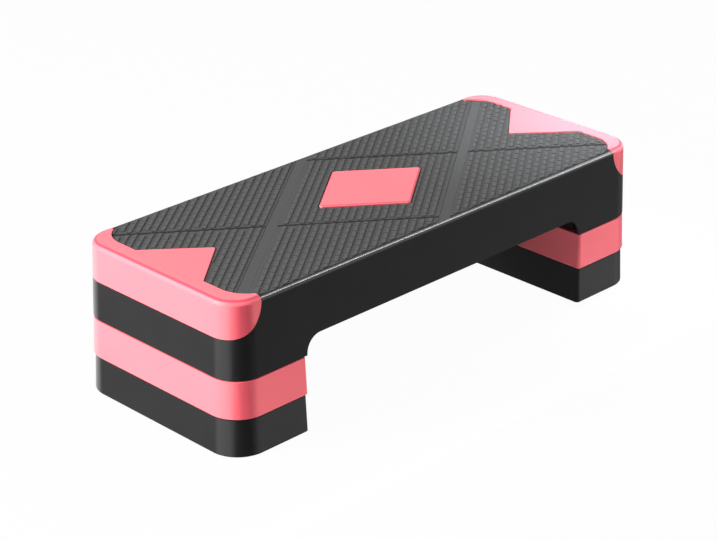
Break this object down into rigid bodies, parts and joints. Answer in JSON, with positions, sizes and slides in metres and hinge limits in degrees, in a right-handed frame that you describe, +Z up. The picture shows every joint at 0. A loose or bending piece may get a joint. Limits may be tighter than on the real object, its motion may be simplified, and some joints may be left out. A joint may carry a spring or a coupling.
{
  "type": "aerobic step platform",
  "caption": "Low exercise step: a long studded deck with end caps and a badge, standing on stacking risers that lift off at each end to set the height.",
  "frame": {"origin": "on the floor, under the middle of the deck", "axes": "+X along the deck's length, +Y across it, +Z up"},
  "size_m": [0.7318, 0.2878, 0.203],
  "materials": {
    "black_plastic": "fine moulded grain, satin",
    "pink_plastic": "smooth moulded, half gloss",
    "tread_rubber": "studded, matt",
    "foot_rubber": "matt",
    "screw_steel": "zinc plated"
  },
  "bodies": {
    "left_lower": {"left_lower_riser": "black_plastic", "left_lower_riser_feet": "foot_rubber"},
    "left_upper": {"left_upper_riser": "pink_plastic", "left_upper_riser_feet": "foot_rubber"},
    "deck": {"deck_shell": "black_plastic", "centre_badge": "pink_plastic", "tread_centre": "tread_rubber", "tread_left_end": "tread_rubber", "tread_right_end": "tread_rubber", "tread_front_left": "tread_rubber", "tread_front_right": "tread_rubber", "tread_back_left": "tread_rubber", "tread_back_right": "tread_rubber", "left_end_cap": "pink_plastic", "left_end_cap_screws": "screw_steel", "left_leg_feet": "foot_rubber", "right_end_cap": "pink_plastic", "right_end_cap_screws": "screw_steel", "right_leg_feet": "foot_rubber"},
    "right_upper": {"right_upper_riser": "pink_plastic", "right_upper_riser_feet": "foot_rubber"},
    "right_lower": {"right_lower_riser": "black_plastic", "right_lower_riser_feet": "foot_rubber"}
  },
  "joints": [
    {"name": "upper_riser_lift", "type": "slide", "parent": "left_lower", "child": "left_upper", "axis": [0, 0, 1], "range_m": [0, 0.08]},
    {"name": "deck_lift", "type": "slide", "parent": "left_upper", "child": "deck", "axis": [0, 0, 1], "range_m": [0, 0.08]},
    {"name": "right_upper_release", "type": "slide", "parent": "deck", "child": "right_upper", "axis": [0, 0, -1], "range_m": [0, 0.08]},
    {"name": "right_lower_release", "type": "slide", "parent": "right_upper", "child": "right_lower", "axis": [0, 0, -1], "range_m": [0, 0.08]}
  ],
  "couplings": [
    {"joint": "right_upper_release", "follows": "deck_lift", "ratio": 1},
    {"joint": "right_lower_release", "follows": "upper_riser_lift", "ratio": 1}
  ]
}
